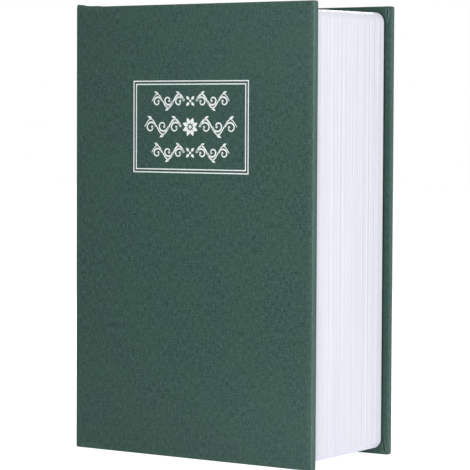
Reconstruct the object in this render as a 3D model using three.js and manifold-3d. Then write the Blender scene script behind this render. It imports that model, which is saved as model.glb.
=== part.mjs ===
// A book diversion safe: a cloth-bound case round a moulded block of pages, which hides a steel
// lock box. It stands upright on its tail, in millimetres: X runs from the spine to the fore-edge,
// Y from the front cover to the back cover and Z up the height. The origin is the centre of the base.
import * as THREE from "three";
import { mergeVertices } from "three/addons/utils/BufferGeometryUtils.js";
import Module from "manifold-3d";

const wasm = await Module();
wasm.setup();

// The closed book
const bookHeight = 180;
const bookWidth = 115.5;
const bookThickness = 59;

// The case: grey board, book cloth glued round it and a paper sheet over the turned-in cloth
const boardThickness = 2.2;
const clothThickness = 0.3;
const glueLine = 0.1;
const turnIn = 15;
const jointWidth = 9.5;
const creaseGap = 0.3;
const creaseProud = 0.2;
const paperThickness = 0.2;
const paperMargin = 4;

// The moulded page block, a sleeve with an inward rim at the front and open at the back
const coverOverhang = 2.4;
const coverGap = 0.4;
const spineGap = 0.4;
const pageCornerRadius = 4.2;
const sleeveWall = 2;
const rimWidth = 5.5;
const rimThickness = 2;
const rimSetback = 0.3;
const ribThickness = 1.6;
const ribStandoff = 20;
const ribSpacing = 50;
const pageLinePitch = 4;
const pageLineWidth = 0.5;
const pageLineDepth = 0.25;

// The steel box and its inset lid, folded from one gauge of sheet
const steelThickness = 1;
const lidGap = 0.6;
const restGap = 0.3;
const seam = 0.1;

// The lid's butt hinge
const hingeLength = 70;
const knuckleCount = 5;
const knuckleGap = 0.4;
const barrelRadius = 2;
const pinRadius = 1;
const pinClearance = 0.2;
const pinHeadRadius = 1.5;
const pinHeadLength = 0.6;
const barrelSink = 1.4;
const leafThickness = 1;
const leafWidth = 13;
const rivetCount = 3;
const rivetInset = 8;
const rivetRadius = 1.2;
const rivetClearance = 0.2;
const rivetHeadRadius = 2.3;
const rivetHeadHeight = 0.9;
const rivetTailRadius = 1.8;
const rivetTailHeight = 0.7;

// The cam lock in the lid, measured from the lid's outer face along its axis
const plugRadius = 5.5;
const plugHeadLip = 1.1;
const plugHeadThickness = 1.5;
const plugClearance = 0.15;
const plugTail = 3.1;
const lockWall = 1.85;
const lockFlatWall = 0.95;
const lockGrooveWall = 1.1;
const lockFlangeLip = 2.5;
const lockFlangeHeight = 2.3;
const lockClearance = 0.2;
const washerWidth = 3;
const washerThickness = 0.8;
const nutWall = 2.5;
const nutThickness = 3;
const keywayWidth = 2;
const keywayHeight = 7.2;
const waferCount = 4;
const waferPitch = 1.8;
const waferThickness = 0.8;
const waferWidth = 5;
const waferStart = 0.5;
const waferPlay = 0.2;
const waferFrame = 1.1;
const waferArmLength = 1.3;
const waferArmHeight = 1;
const springWire = 0.2;
const springDiameter = 1;
const springLength = 3;
const springCurls = 5;
const stubSide = 6;
const camThickness = 1.2;
const camWidth = 9;
const camReach = 18.5;
const camGap = 0.3;
const screwRadius = 1.5;
const screwEndGap = 0.6;
const screwClearance = 0.2;
const screwHeadRadius = 4.2;
const screwHeadHeight = 1.8;
const screwSlotWidth = 1;
const screwSlotDepth = 0.8;

// The strike that the cam turns under, on the box's fore-edge wall
const strikeReach = 6;
const strikeThickness = 1.2;
const strikeLength = 26;
const strikeLeafDepth = 8;
const strikePlay = 0.5;
const camTipGap = 0.4;

// Facets, and how far a cutting body runs past the face that it cuts
const roundSegments = 28;
const barrelSegments = 20;
const smallSegments = 12;
const cornerSegments = 3;
const curlSteps = 8;
const wireSides = 5;
const weldDistance = 1e-4;
const overrun = 1;

// Places that follow from the sizes above
const skinThickness = clothThickness + glueLine;
const coverThickness = boardThickness + 2 * skinThickness;
const spineX = -bookWidth / 2;
const foreX = bookWidth / 2;
const frontY = -bookThickness / 2;
const backY = bookThickness / 2;
const coverStartX = spineX + coverThickness + jointWidth;
const creaseX = spineX + coverThickness + jointWidth / 2;
const creaseY = frontY - creaseProud;

const pageFrontY = frontY + coverThickness + glueLine + paperThickness + coverGap;
const pageBackY = backY - coverThickness - 2 * glueLine - paperThickness;
const pageLeftX = spineX + coverThickness + spineGap;
const pageRightX = foreX - coverOverhang;
const pageBottomZ = coverOverhang;
const pageTopZ = bookHeight - coverOverhang;

const boxInset = rimWidth + rimSetback;
const boxLeftX = pageLeftX + boxInset;
const boxRightX = pageRightX - boxInset;
const boxBottomZ = pageBottomZ + boxInset;
const boxTopZ = pageTopZ - boxInset;
const boxMouthY = pageFrontY + rimThickness + restGap;

const pinX = boxLeftX + seam + barrelRadius;
const pinY = pageFrontY + barrelSink + barrelRadius;
const middleZ = bookHeight / 2;
const lidBackY = barrelRadius - leafThickness - seam;
const lidFaceY = lidBackY - steelThickness;

const waferHeight = 2 * Math.sqrt(plugRadius ** 2 - (waferWidth / 2) ** 2) - 2 * waferPlay;
const waferEnd = waferStart + (waferCount - 1) * waferPitch + waferThickness + waferPlay;
const lockLength = waferEnd + plugTail;
const lockRadius = plugRadius + plugClearance + lockWall;
const lockFlatHalfWidth = plugRadius + plugClearance + lockFlatWall;
const screwLength = plugTail + camGap + camThickness - screwEndGap;
const rivetPitch = hingeLength / rivetCount;

const camFaceY = lockLength + camGap;
const strikeBackY = camFaceY - strikePlay;
const strikeFaceY = strikeBackY - strikeThickness;
const skirtDepth = strikeFaceY - restGap;
const lockX = boxRightX - seam - strikeThickness - camTipGap - camReach;

// A box between two corners
function slab(x0, x1, y0, y1, z0, z1) {
  const geometry = new THREE.BoxGeometry(x1 - x0, y1 - y0, z1 - z0);
  return geometry.translate((x0 + x1) / 2, (y0 + y1) / 2, (z0 + z1) / 2);
}

// A closed geometry as a solid that can be joined and cut
function solid(geometry) {
  const bare = geometry.clone();
  bare.deleteAttribute("normal");
  bare.deleteAttribute("uv");
  const welded = mergeVertices(bare, weldDistance);
  const vertProperties = new Float32Array(welded.attributes.position.array);
  const triVerts = new Uint32Array(welded.index.array);
  return new wasm.Manifold(new wasm.Mesh({ numProp: 3, vertProperties, triVerts }));
}

function slabSolid(...corners) {
  return solid(slab(...corners));
}

// The solid as a geometry again
function geometryOf(body) {
  const { vertProperties, triVerts } = body.getMesh();
  const geometry = new THREE.BufferGeometry();
  geometry.setAttribute("position", new THREE.BufferAttribute(vertProperties, 3));
  geometry.setIndex(new THREE.BufferAttribute(triVerts, 1));
  geometry.computeVertexNormals();
  return geometry;
}

// A body turned about the Y axis from [radius, y] pairs, listed up the outside
function turned(pairs, segments) {
  const profile = pairs.map(([radius, y]) => new THREE.Vector2(radius, y));
  return new THREE.LatheGeometry(profile, segments);
}

function rod(radius, y0, y1, segments) {
  return turned([[0, y0], [radius, y0], [radius, y1], [0, y1]], segments);
}

function tube(inner, outer, y0, y1, segments) {
  return turned([[inner, y0], [outer, y0], [outer, y1], [inner, y1], [inner, y0]], segments);
}

// The same number of places each side of zero, a pitch apart
function spread(count, pitch) {
  return Array.from({ length: count }, (_, i) => (i - (count - 1) / 2) * pitch);
}

function material(color, roughness, metalness) {
  return new THREE.MeshStandardMaterial({ color, roughness, metalness });
}

const bookCloth = material(0x3d564f, 0.8, 0);
const greyBoard = material(0x8d877c, 0.9, 0);
const endpaperStock = material(0xf1eee4, 0.85, 0);
const pageWhite = material(0xeceef7, 0.55, 0);
const coatedSteel = material(0x2b2d2f, 0.5, 0.2);
const zincSteel = material(0xb4b7ba, 0.35, 1);
const lockChrome = material(0xd5d7d9, 0.15, 1);
const waferBrass = material(0xb08d4a, 0.35, 1);

function piece(name, geometry, finish) {
  const mesh = new THREE.Mesh(geometry, finish);
  mesh.name = name;
  return mesh;
}

// The cloth on one cover board, with its outer face at y = 0 and its board edge at x = 0: it turns
// round the head, tail and fore-edge onto the inner face, and runs on over the joint at the spine.
function coverCloth(width, jointCover) {
  const joint = slabSolid(-jointCover, overrun, 0, clothThickness, 0, bookHeight);
  const wrapped = slabSolid(0, width, 0, coverThickness, 0, bookHeight);
  const board = slabSolid(
    -overrun, width - clothThickness,
    clothThickness, coverThickness - clothThickness,
    clothThickness, bookHeight - clothThickness,
  );
  const open = slabSolid(
    -overrun, width - turnIn,
    coverThickness / 2, coverThickness + overrun,
    turnIn, bookHeight - turnIn,
  );
  return wrapped.subtract(board).subtract(open).add(joint);
}

function coverBoard(width) {
  return slab(
    glueLine, width - skinThickness,
    skinThickness, skinThickness + boardThickness,
    skinThickness, bookHeight - skinThickness,
  );
}

function coverPaper(width) {
  const face = coverThickness + glueLine;
  return slab(
    paperMargin, width - paperMargin,
    face, face + paperThickness,
    paperMargin, bookHeight - paperMargin,
  );
}

// The front cover hangs from the crease of its cloth joint
function frontCover() {
  const group = new THREE.Group();
  group.position.set(creaseX, creaseY, 0);
  const leaf = new THREE.Group();
  leaf.position.set(coverStartX - creaseX, frontY - creaseY, 0);
  const width = foreX - coverStartX;
  const jointCover = (jointWidth - creaseGap) / 2;
  leaf.add(
    piece("front_cover_cloth", geometryOf(coverCloth(width, jointCover)), bookCloth),
    piece("front_board", coverBoard(width), greyBoard),
    piece("front_endpaper", coverPaper(width), endpaperStock),
  );
  return group.add(leaf);
}

// The cloth round the spine board, open to the inside between its head and tail turn-ins, with the
// front joint as far as the crease and the back joint with the whole back cover
function caseCloth() {
  const inner = spineX + coverThickness;
  const wrapped = slabSolid(spineX, inner, frontY, backY, 0, bookHeight);
  const board = slabSolid(
    spineX + clothThickness, inner - clothThickness,
    frontY + clothThickness, backY - clothThickness,
    clothThickness, bookHeight - clothThickness,
  );
  const open = slabSolid(
    spineX + coverThickness / 2, inner + overrun,
    frontY + clothThickness, backY - clothThickness,
    turnIn, bookHeight - turnIn,
  );
  const frontJoint = slabSolid(
    inner - clothThickness / 2, creaseX - creaseGap / 2,
    frontY, frontY + clothThickness,
    0, bookHeight,
  );
  const backJoint = jointWidth + clothThickness / 2;
  const back = coverCloth(foreX - coverStartX, backJoint)
    .mirror([0, 1, 0])
    .translate([coverStartX, backY, 0]);
  return wrapped.subtract(board).subtract(open).add(frontJoint).add(back);
}

function spineBoard() {
  return slab(
    spineX + skinThickness, spineX + skinThickness + boardThickness,
    frontY + skinThickness, backY - skinThickness,
    skinThickness, bookHeight - skinThickness,
  );
}

function caseBack() {
  const group = new THREE.Group();
  const leaf = new THREE.Group();
  leaf.position.set(coverStartX, backY, bookHeight);
  leaf.rotation.x = Math.PI;
  const width = foreX - coverStartX;
  leaf.add(
    piece("back_board", coverBoard(width), greyBoard),
    piece("back_endpaper", coverPaper(width), endpaperStock),
  );
  return group.add(
    leaf,
    piece("case_cloth", geometryOf(caseCloth()), bookCloth),
    piece("spine_board", spineBoard(), greyBoard),
  );
}

// A rounded outline in X and Z, drawn as X and Y of a shape
function roundedOutline(x0, x1, z0, z1, radius) {
  const shape = new THREE.Shape();
  shape.absarc(x1 - radius, z1 - radius, radius, 0, Math.PI / 2);
  shape.absarc(x0 + radius, z1 - radius, radius, Math.PI / 2, Math.PI);
  shape.absarc(x0 + radius, z0 + radius, radius, Math.PI, 1.5 * Math.PI);
  shape.absarc(x1 - radius, z0 + radius, radius, 1.5 * Math.PI, 2 * Math.PI);
  return shape;
}

// The block's outline shrunk by an inset and drawn out from y0 to y1
function pageSolid(inset, y0, y1) {
  const outline = roundedOutline(
    pageLeftX + inset, pageRightX - inset,
    pageBottomZ + inset, pageTopZ - inset,
    Math.max(pageCornerRadius - inset, sleeveWall / 2),
  );
  const options = { depth: y1 - y0, bevelEnabled: false, curveSegments: cornerSegments };
  const geometry = new THREE.ExtrudeGeometry(outline, options);
  geometry.rotateX(Math.PI / 2);
  return solid(geometry.translate(0, y1, 0));
}

// The grooves that stand for the edges of the pages, all round the block
function pageLines() {
  const depth = pageBackY - pageFrontY;
  const count = Math.floor(depth / pageLinePitch);
  return spread(count, pageLinePitch).map((offset) => {
    const y0 = (pageFrontY + pageBackY) / 2 + offset - pageLineWidth / 2;
    const y1 = y0 + pageLineWidth;
    return pageSolid(-overrun, y0, y1).subtract(pageSolid(pageLineDepth, y0 - overrun, y1 + overrun));
  });
}

// Ribs inside the sleeve that hold the steel box off its walls
function sleeveRibs() {
  const reach = boxInset - steelThickness - restGap;
  const left = pageLeftX + sleeveWall / 2;
  const right = pageRightX - sleeveWall / 2;
  const bottom = pageBottomZ + sleeveWall / 2;
  const top = pageTopZ - sleeveWall / 2;
  const y0 = pageFrontY + rimThickness / 2;
  const half = ribThickness / 2;
  const pairs = [-1, 1].map((side) => {
    const z = middleZ + side * (hingeLength / 2 + ribStandoff);
    const x = (pageLeftX + pageRightX) / 2 + (side * ribSpacing) / 2;
    return [
      slabSolid(left, pageLeftX + reach, y0, pageBackY, z - half, z + half),
      slabSolid(pageRightX - reach, right, y0, pageBackY, z - half, z + half),
      slabSolid(x - half, x + half, y0, pageBackY, bottom, pageBottomZ + reach),
      slabSolid(x - half, x + half, y0, pageBackY, pageTopZ - reach, top),
    ];
  });
  return pairs.flat();
}

function pageBlock() {
  const outer = pageSolid(0, pageFrontY, pageBackY);
  const hollow = pageSolid(sleeveWall, pageFrontY + rimThickness, pageBackY + overrun);
  const mouth = slabSolid(
    pageLeftX + rimWidth, pageRightX - rimWidth,
    pageFrontY - overrun, pageFrontY + rimThickness + overrun,
    pageBottomZ + rimWidth, pageTopZ - rimWidth,
  );
  let body = outer.subtract(hollow).subtract(mouth);
  for (const rib of sleeveRibs()) body = body.add(rib);
  for (const line of pageLines()) body = body.subtract(line);
  return body;
}

// The tray of the safe, with rivet holes for the hinge in its spine-side wall
function safeBox() {
  const outer = slabSolid(
    boxLeftX - steelThickness, boxRightX + steelThickness,
    boxMouthY, pageBackY,
    boxBottomZ - steelThickness, boxTopZ + steelThickness,
  );
  const hollow = slabSolid(
    boxLeftX, boxRightX,
    boxMouthY - overrun, pageBackY - steelThickness,
    boxBottomZ, boxTopZ,
  );
  let body = outer.subtract(hollow);
  for (const offset of spread(rivetCount, rivetPitch)) {
    const hole = rivetHole(steelThickness).rotateZ(-Math.PI / 2);
    hole.translate(boxLeftX - steelThickness, pinY + rivetInset, middleZ + offset);
    body = body.subtract(solid(hole));
  }
  return body;
}

// The bracket on the fore-edge wall that the lid rests on and the cam turns under
function strike() {
  const right = boxRightX - seam;
  const top = pinY + lidFaceY;
  const shelf = slabSolid(
    right - strikeReach, right,
    top + strikeFaceY, top + strikeBackY,
    middleZ - strikeLength / 2, middleZ + strikeLength / 2,
  );
  const leaf = slabSolid(
    right - strikeThickness, right,
    top + strikeFaceY, top + strikeFaceY + strikeLeafDepth,
    middleZ - strikeLength / 2, middleZ + strikeLength / 2,
  );
  return shelf.add(leaf);
}

// A cutter for a rivet's hole through one sheet, along Y
function rivetHole(sheet) {
  return rod(rivetRadius + rivetClearance, -overrun, sheet + overrun, smallSegments);
}

// A rivet along Y through a sheet from y = 0 and a hinge leaf: a domed head before them and a set
// tail behind
function rivet() {
  const start = -seam;
  const end = steelThickness + leafThickness + 2 * seam;
  const dome = rivetHeadHeight / 2;
  return turned([
    [0, start - rivetHeadHeight],
    [rivetHeadRadius - dome, start - rivetHeadHeight],
    [rivetHeadRadius, start - dome],
    [rivetHeadRadius, start],
    [rivetRadius, start],
    [rivetRadius, end],
    [rivetTailRadius, end],
    [rivetTailRadius, end + rivetTailHeight],
    [0, end + rivetTailHeight],
  ], smallSegments);
}

// One leaf of the hinge about the pin's axis: its plate lies on the -X side of the barrel and runs
// to +Y, and it has the even or the odd knuckles.
function hingeLeaf(parity) {
  const pitch = hingeLength / knuckleCount;
  const half = hingeLength / 2;
  let leaf = slabSolid(-barrelRadius, leafThickness - barrelRadius, 0, leafWidth, -half, half);
  spread(knuckleCount, pitch).forEach((offset, i) => {
    const own = i % 2 === parity;
    const reach = own ? (pitch - knuckleGap) / 2 : (pitch + knuckleGap) / 2;
    if (own) {
      const knuckle = rod(barrelRadius, -reach, reach, barrelSegments).rotateX(Math.PI / 2);
      leaf = leaf.add(solid(knuckle.translate(0, 0, offset)));
    } else {
      const side = barrelRadius + overrun;
      const notch = [-side, side, -side, barrelRadius + knuckleGap];
      leaf = leaf.subtract(slabSolid(...notch, offset - reach, offset + reach));
    }
  });
  const bore = rod(pinRadius + pinClearance, -half - overrun, half + overrun, barrelSegments);
  leaf = leaf.subtract(solid(bore.rotateX(Math.PI / 2)));
  for (const offset of spread(rivetCount, rivetPitch)) {
    const hole = rivetHole(leafThickness).rotateZ(-Math.PI / 2);
    leaf = leaf.subtract(solid(hole.translate(-barrelRadius, rivetInset, offset)));
  }
  return geometryOf(leaf);
}

// The pin, with a peened head at each end of the barrel
function hingePin() {
  const end = hingeLength / 2 + restGap;
  const tip = end + pinHeadLength;
  const profile = [
    [0, -tip], [pinHeadRadius, -tip], [pinHeadRadius, -end], [pinRadius, -end],
    [pinRadius, end], [pinHeadRadius, end], [pinHeadRadius, tip], [0, tip],
  ];
  return turned(profile, smallSegments).rotateX(Math.PI / 2);
}

function safe() {
  const group = new THREE.Group();
  const hinge = new THREE.Group();
  hinge.position.set(pinX, pinY, middleZ);
  hinge.add(piece("box_hinge_leaf", hingeLeaf(0), zincSteel), piece("hinge_pin", hingePin(), zincSteel));
  spread(rivetCount, rivetPitch).forEach((offset, i) => {
    const mesh = piece(`box_hinge_rivet_${i + 1}`, rivet(), zincSteel);
    mesh.rotation.z = -Math.PI / 2;
    mesh.position.set(-barrelRadius - seam - steelThickness, rivetInset, offset);
    hinge.add(mesh);
  });
  return group.add(
    piece("page_block", geometryOf(pageBlock()), pageWhite),
    piece("safe_box", geometryOf(safeBox()), coatedSteel),
    piece("strike_bracket", geometryOf(strike()), zincSteel),
    hinge,
  );
}

// A length of the lock's body: round, with two flats that stop it turning in the lid
function lockSection(radius, flat, y0, y1) {
  const flats = slabSolid(-flat, flat, y0 - overrun, y1 + overrun, -radius - overrun, radius + overrun);
  return solid(rod(radius, y0, y1, roundSegments)).intersect(flats);
}

// The lid's panel, folded down along its head, tail and fore-edge, about the hinge pin's axis
function safeLid() {
  const left = barrelRadius + knuckleGap;
  const right = boxRightX - lidGap - pinX;
  const half = (boxTopZ - boxBottomZ) / 2 - lidGap;
  const outer = slabSolid(left, right, lidFaceY, lidFaceY + skirtDepth, -half, half);
  const inside = half - steelThickness;
  const hollow = slabSolid(
    left - overrun, right - steelThickness,
    lidBackY, lidFaceY + skirtDepth + overrun,
    -inside, inside,
  );
  let body = outer.subtract(hollow);
  for (const offset of spread(rivetCount, rivetPitch)) {
    const hole = rivetHole(steelThickness).translate(rivetInset, lidFaceY, offset);
    body = body.subtract(solid(hole));
  }
  const lockHole = lockSection(
    lockRadius + lockClearance, lockFlatHalfWidth + lockClearance,
    -overrun, steelThickness + overrun,
  );
  return body.subtract(lockHole.translate([lockX - pinX, lidFaceY, 0]));
}

// The lock's case: a flange on the lid, a body through it, a stepped bore for the plug and a groove
// above and below the bore for the wafers to spring into
function lockHousing() {
  const face = -seam - lockFlangeHeight;
  const boreRadius = plugRadius + plugClearance;
  const recessEnd = face + plugHeadThickness + plugClearance;
  const flange = solid(rod(lockRadius + lockFlangeLip, face, -seam, roundSegments));
  const body = lockSection(lockRadius, lockFlatHalfWidth, face / 2, lockLength);
  const bore = rod(boreRadius, face - overrun, lockLength + overrun, roundSegments);
  const recess = rod(boreRadius + plugHeadLip, face - overrun, recessEnd, roundSegments);
  const grooveHalf = waferWidth / 2 + waferPlay;
  const grooveTop = lockRadius - lockGrooveWall;
  const groove = slabSolid(
    -grooveHalf, grooveHalf,
    waferStart - waferPlay, waferEnd,
    -grooveTop, grooveTop,
  );
  return flange.add(body).subtract(solid(bore)).subtract(solid(recess)).subtract(groove);
}

function waferY(i) {
  return waferStart + i * waferPitch;
}

// The space that one wafer and its spring slide in, through the plug
function waferSlot() {
  const half = waferWidth / 2 + waferPlay;
  const arm = half + waferArmLength;
  const y0 = -waferPlay;
  const y1 = waferThickness + waferPlay;
  const armTop = waferArmHeight + 2 * waferPlay;
  const slot = slabSolid(-half, half, y0, y1, -plugRadius - overrun, plugRadius + overrun);
  return slot.add(slabSolid(0, arm, y0, y1, -springLength - waferPlay, armTop));
}

// The plug that the key turns: a head, the keyway, the wafer slots, and a square stub for the cam
function lockPlug() {
  const face = -seam - lockFlangeHeight;
  const end = camFaceY + camThickness - seam;
  const head = solid(rod(plugRadius + plugHeadLip, face, face + plugHeadThickness, roundSegments));
  const barrel = solid(rod(plugRadius, face, lockLength, roundSegments));
  const half = stubSide / 2;
  const stub = slabSolid(-half, half, lockLength - overrun, end, -half, half);
  const keyway = slabSolid(
    -keywayWidth / 2, keywayWidth / 2,
    face - overrun, waferEnd,
    -keywayHeight / 2, keywayHeight / 2,
  );
  const tapping = rod(
    screwRadius + screwClearance,
    end - screwLength - screwClearance, end + overrun,
    smallSegments,
  );
  let plug = head.add(barrel).add(stub).subtract(keyway).subtract(solid(tapping));
  for (let i = 0; i < waferCount; i++) plug = plug.subtract(waferSlot().translate([0, waferY(i), 0]));
  return plug;
}

// A wafer: a plate with a window for the key and an arm for its spring
function wafer() {
  const half = waferWidth / 2;
  const top = waferHeight / 2;
  const plate = slabSolid(-half, half, 0, waferThickness, -top, top);
  const arm = slabSolid(0, half + waferArmLength, 0, waferThickness, waferPlay, waferPlay + waferArmHeight);
  const window = slabSolid(
    waferFrame - half, half - waferFrame,
    -overrun, waferThickness + overrun,
    waferFrame - top, top - waferFrame,
  );
  return plate.add(arm).subtract(window);
}

// The helix of a wafer's spring, pressed between the plug and the wafer's arm
class SpringCurve extends THREE.Curve {
  getPoint(t, target = new THREE.Vector3()) {
    const angle = t * springCurls * 2 * Math.PI;
    const radius = (springDiameter - springWire) / 2;
    const rise = t * (springLength - springWire);
    return target.set(radius * Math.cos(angle), radius * Math.sin(angle), rise);
  }
}

function waferSpring() {
  const wire = new THREE.Shape();
  const radius = springWire / 2;
  for (let i = 0; i < wireSides; i++) {
    const angle = (i / wireSides) * 2 * Math.PI;
    const [x, y] = [radius * Math.cos(angle), radius * Math.sin(angle)];
    if (i === 0) wire.moveTo(x, y);
    else wire.lineTo(x, y);
  }
  const steps = springCurls * curlSteps;
  const options = { steps, extrudePath: new SpringCurve(), curveSegments: 1 };
  const spring = new THREE.ExtrudeGeometry(wire, options);
  const x = waferWidth / 2 + (waferPlay + waferArmLength) / 2;
  return spring.translate(x, waferThickness / 2, radius - springLength);
}

// The cam: a bar with a square hole, rounded at both ends, that hangs down while the lid is free
function lockCam() {
  const half = camWidth / 2;
  const shape = new THREE.Shape();
  shape.absarc(0, 0, half, 0, Math.PI);
  shape.absarc(0, half - camReach, half, Math.PI, 2 * Math.PI);
  const options = { depth: camThickness, bevelEnabled: false, curveSegments: smallSegments / 2 };
  const bar = new THREE.ExtrudeGeometry(shape, options).rotateX(Math.PI / 2);
  const hole = stubSide / 2 + plugClearance;
  const bore = slabSolid(-hole, hole, -overrun, camThickness + overrun, -hole, hole);
  return solid(bar.translate(0, camThickness, 0)).subtract(bore);
}

// The slotted screw that holds the cam on the stub
function camScrew() {
  const top = seam + screwHeadHeight;
  const bevel = screwHeadHeight / 3;
  const body = turned([
    [0, -screwLength], [screwRadius, -screwLength], [screwRadius, seam], [screwHeadRadius, seam],
    [screwHeadRadius, top - bevel], [screwHeadRadius - bevel, top], [0, top],
  ], roundSegments);
  const half = screwSlotWidth / 2;
  const side = screwHeadRadius + overrun;
  const slot = slabSolid(-side, side, top - screwSlotDepth, top + overrun, -half, half);
  return solid(body).subtract(slot);
}

function lockNut() {
  const corner = (lockRadius + nutWall) / Math.cos(Math.PI / 6);
  const start = steelThickness + washerThickness + 2 * seam;
  const end = start + nutThickness;
  const hex = rod(corner, start, end, 6);
  const bore = rod(lockRadius + lockClearance, start - overrun, end + overrun, roundSegments);
  return solid(hex).subtract(solid(bore));
}

function lock() {
  const group = new THREE.Group();
  const washerY = steelThickness + seam;
  const washer = tube(
    lockRadius + lockClearance, lockRadius + washerWidth,
    washerY, washerY + washerThickness,
    roundSegments,
  );
  const turning = new THREE.Group();
  turning.add(piece("lock_plug", geometryOf(lockPlug()), lockChrome));
  for (let i = 0; i < waferCount; i++) {
    const plate = piece(`lock_wafer_${i + 1}`, geometryOf(wafer()), waferBrass);
    const spring = piece(`lock_spring_${i + 1}`, waferSpring(), zincSteel);
    plate.position.y = waferY(i);
    spring.position.y = waferY(i);
    turning.add(plate, spring);
  }
  const cam = piece("lock_cam", geometryOf(lockCam()), zincSteel);
  cam.position.y = camFaceY;
  const screw = piece("cam_screw", geometryOf(camScrew()), zincSteel);
  screw.position.y = camFaceY + camThickness;
  turning.add(cam, screw);
  return group.add(
    piece("lock_housing", geometryOf(lockHousing()), lockChrome),
    piece("lock_washer", washer, zincSteel),
    piece("lock_nut", geometryOf(lockNut()), zincSteel),
    turning,
  );
}

function lid() {
  const group = new THREE.Group();
  group.position.set(pinX, pinY, middleZ);
  const leaf = piece("lid_hinge_leaf", hingeLeaf(1), zincSteel);
  leaf.rotation.z = -Math.PI / 2;
  group.add(piece("safe_lid", geometryOf(safeLid()), coatedSteel), leaf);
  spread(rivetCount, rivetPitch).forEach((offset, i) => {
    const mesh = piece(`lid_hinge_rivet_${i + 1}`, rivet(), zincSteel);
    mesh.position.set(rivetInset, lidFaceY, offset);
    group.add(mesh);
  });
  const cylinder = lock();
  cylinder.position.set(lockX - pinX, lidFaceY, 0);
  return group.add(cylinder);
}

const book = new THREE.Group();
book.add(caseBack(), frontCover(), safe(), lid());

export default book;
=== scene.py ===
import math
import random

import bmesh
import bpy
from mathutils import Matrix, Vector


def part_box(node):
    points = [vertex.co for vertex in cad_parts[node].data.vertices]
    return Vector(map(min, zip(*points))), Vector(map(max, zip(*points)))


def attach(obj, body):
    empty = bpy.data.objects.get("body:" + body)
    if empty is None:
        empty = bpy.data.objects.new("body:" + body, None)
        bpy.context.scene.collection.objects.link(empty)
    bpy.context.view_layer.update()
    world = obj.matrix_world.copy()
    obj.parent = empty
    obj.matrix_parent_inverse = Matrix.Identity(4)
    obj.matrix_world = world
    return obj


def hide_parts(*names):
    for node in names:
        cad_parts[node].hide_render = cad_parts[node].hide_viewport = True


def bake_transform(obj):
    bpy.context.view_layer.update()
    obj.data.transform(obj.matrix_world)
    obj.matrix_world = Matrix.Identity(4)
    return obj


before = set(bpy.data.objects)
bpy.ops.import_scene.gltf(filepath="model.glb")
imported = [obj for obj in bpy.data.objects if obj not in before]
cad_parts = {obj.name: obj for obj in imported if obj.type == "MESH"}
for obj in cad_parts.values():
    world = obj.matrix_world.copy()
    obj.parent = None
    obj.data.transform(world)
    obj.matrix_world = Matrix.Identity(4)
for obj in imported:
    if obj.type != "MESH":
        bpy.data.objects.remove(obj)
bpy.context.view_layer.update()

# The camera stands about a metre off, before the cover and to its right, at three quarters of the
# book's height. Its lens is long, so that the book's uprights converge only slightly.
MM = 0.001
camera_place = Vector((553.1, -791.9, 135.3))
camera_turn = math.radians(34.89)
camera_fall = math.radians(2.815)
camera_roll = math.radians(0.254)
camera = bpy.data.objects.new("camera", bpy.data.cameras.new("camera"))
camera.data.sensor_width = 36
camera.data.lens = 182.75
camera.data.clip_end = 10
camera.matrix_world = (
    Matrix.Translation(camera_place * MM)
    @ Matrix.Rotation(camera_turn, 4, "Z")
    @ Matrix.Rotation(math.pi / 2 - camera_fall, 4, "X")
    @ Matrix.Rotation(camera_roll, 4, "Z")
)
scene = bpy.context.scene
scene.collection.objects.link(camera)
scene.camera = camera
scene.view_settings.view_transform = "Standard"


# The studio: a low soft lamp before the cover, others above it, beside the fore-edge and behind, and
# a white room that is darker to the left. They show the visible sides at about the colours written here.
def linear(hex_colour):
    """An sRGB colour such as "#3d564f" as linear RGBA."""
    channels = [int(hex_colour[i:i + 2], 16) / 255 for i in (1, 3, 5)]
    return [c / 12.92 if c <= 0.04045 else ((c + 0.055) / 1.055) ** 2.4 for c in channels] + [1]


def add(tree, kind, inputs=None, **settings):
    """Adds a node: settings are its attributes, and an input is a value or another node's socket."""
    made = tree.nodes.new("ShaderNode" + kind)
    for name, value in settings.items():
        setattr(made, name, value)
    for key, value in (inputs or {}).items():
        if isinstance(value, bpy.types.NodeSocket):
            tree.links.new(value, made.inputs[key])
        else:
            made.inputs[key].default_value = value
    return made


def seen_directly(tree):
    """1 for rays that come from the camera, or by a mirror or glass, and 0 for the rest."""
    path = add(tree, "LightPath")
    seen = path.outputs["Is Camera Ray"]
    for ray in ("Is Glossy Ray", "Is Transmission Ray"):
        seen = add(tree, "Math", {0: seen, 1: path.outputs[ray]}, operation="MAXIMUM").outputs[0]
    return seen


def lamp(name, place, target, size, watts):
    """A square soft lamp that faces its target."""
    made = bpy.data.objects.new(name, bpy.data.lights.new(name, "AREA"))
    made.data.size = size * MM
    made.data.energy = watts
    made.location = Vector(place) * MM
    made.rotation_euler = ((Vector(target) - Vector(place)).to_track_quat("-Z", "Y")).to_euler()
    made.visible_camera = False
    scene.collection.objects.link(made)


book_middle = (0, 0, 90)
lamp("key_lamp", (150, -270, 15), book_middle, size=80, watts=0.34)
lamp("top_lamp", (210, -250, 340), book_middle, size=150, watts=0.43)
lamp("side_lamp", (500, 60, 520), book_middle, size=250, watts=0.5)
lamp("rear_lamp", (-300, 700, 420), book_middle, size=300, watts=3.0)

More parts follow.
